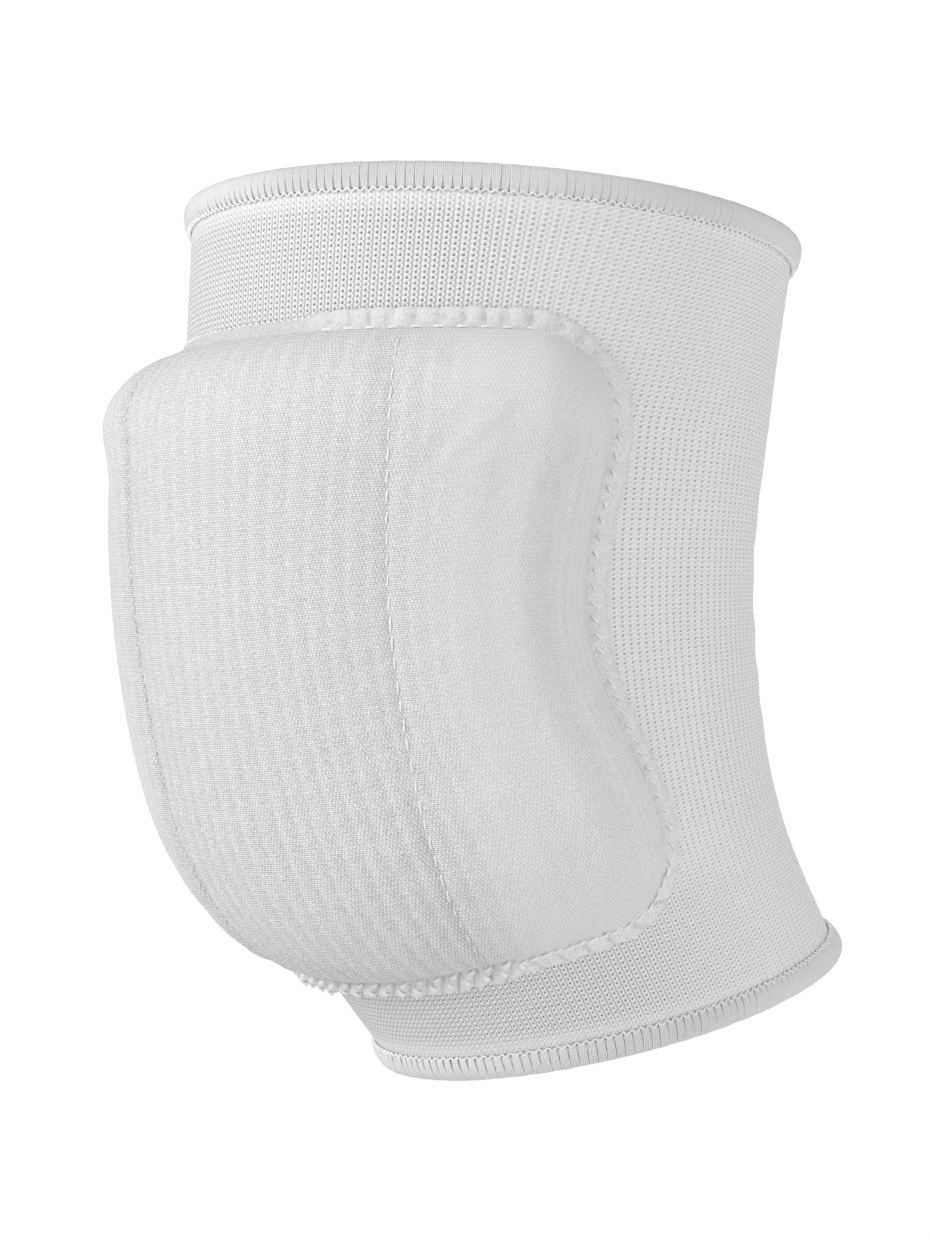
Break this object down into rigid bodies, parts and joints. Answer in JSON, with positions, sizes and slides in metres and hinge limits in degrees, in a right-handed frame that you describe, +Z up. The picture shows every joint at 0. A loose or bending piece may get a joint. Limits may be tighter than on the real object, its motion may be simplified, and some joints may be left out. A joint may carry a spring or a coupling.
{
  "type": "volleyball knee pad",
  "caption": "Knitted elastic knee sleeve in the shape of a slightly bent leg, with a quilted foam pad over the kneecap and shin.",
  "frame": {"origin": "centre of the hollow at the knee, where the leg's centre line bends", "axes": "+Z up the leg towards the thigh, -Y towards the kneecap, +X towards one side of the knee"},
  "size_m": [0.1338, 0.1917, 0.1959],
  "materials": {
    "knit": "white elastic knit",
    "cover": "white fine ribbed knit over foam",
    "band": "white stitched edge",
    "edging": "white overlock thread"
  },
  "bodies": {
    "root": {"knit_sleeve": "knit", "pad_cover": "cover", "pad_edge_band": "band", "thigh_edging": "edging", "calf_edging": "edging"}
  },
  "joints": []
}
